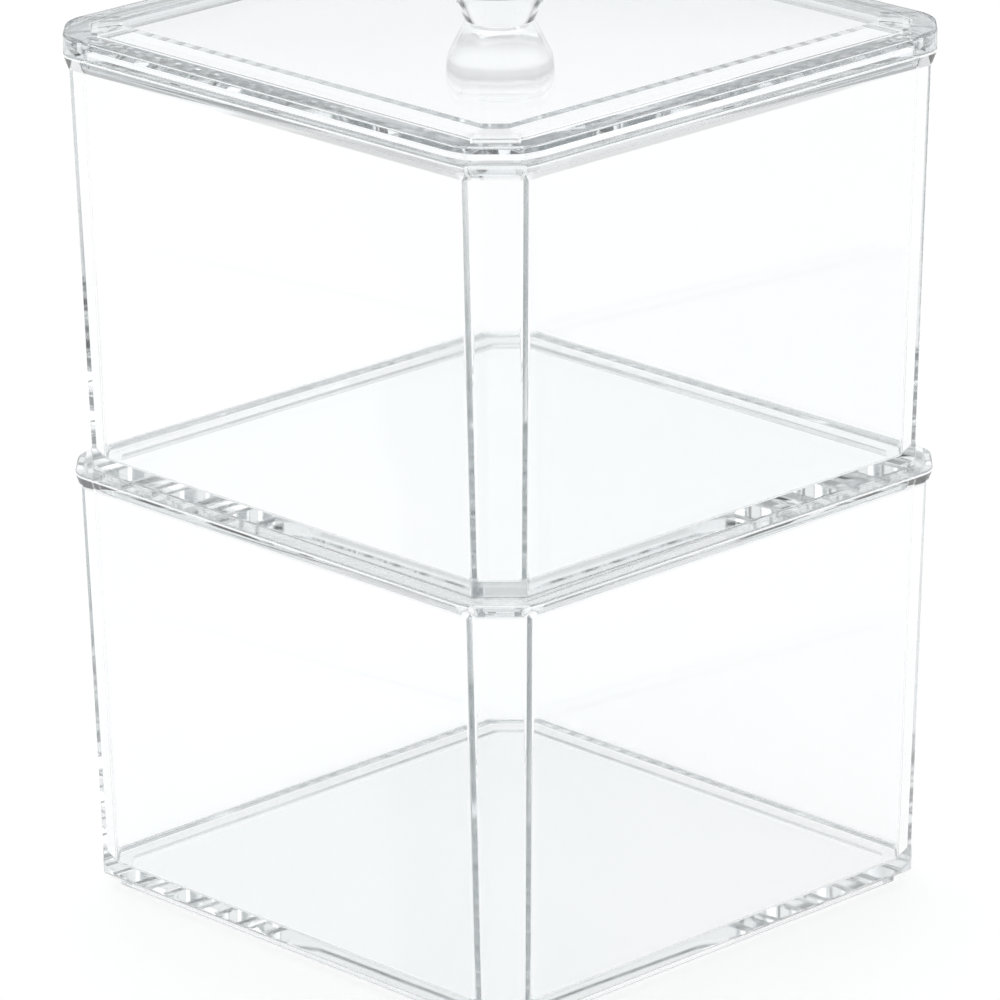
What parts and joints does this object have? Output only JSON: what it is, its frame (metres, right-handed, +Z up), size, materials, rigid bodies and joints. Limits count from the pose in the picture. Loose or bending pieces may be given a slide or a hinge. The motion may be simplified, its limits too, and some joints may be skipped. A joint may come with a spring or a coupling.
{
  "type": "stacking storage box",
  "caption": "Clear square storage boxes with chamfered corners, stacked foot in mouth, each with a proud rim, under a bevelled lift-off lid with a flared knob.",
  "frame": {"origin": "middle of the stack's footprint, on the surface it stands on", "axes": "+Z up through the knob; +X and +Y square to the flat walls, all four sides being alike"},
  "size_m": [0.1, 0.1, 0.1511],
  "materials": {
    "clear_box": "polished, colourless, see-through, with a faint grey-green tint at the edges",
    "clear_lid": "polished, colourless, see-through, with a faint grey-green tint at the edges",
    "clear_knob": "polished, colourless, see-through"
  },
  "bodies": {
    "lower_box": {"lower_box": "clear_box"},
    "upper_box": {"upper_box": "clear_box"},
    "lid": {"lid": "clear_lid", "lid_knob": "clear_knob"}
  },
  "joints": [
    {"name": "upper_box_lift", "type": "slide", "parent": "lower_box", "child": "upper_box", "axis": [0, 0, 1], "range_m": [0, 0.08]},
    {"name": "lid_lift", "type": "slide", "parent": "upper_box", "child": "lid", "axis": [0, 0, 1], "range_m": [0, 0.08]}
  ]
}
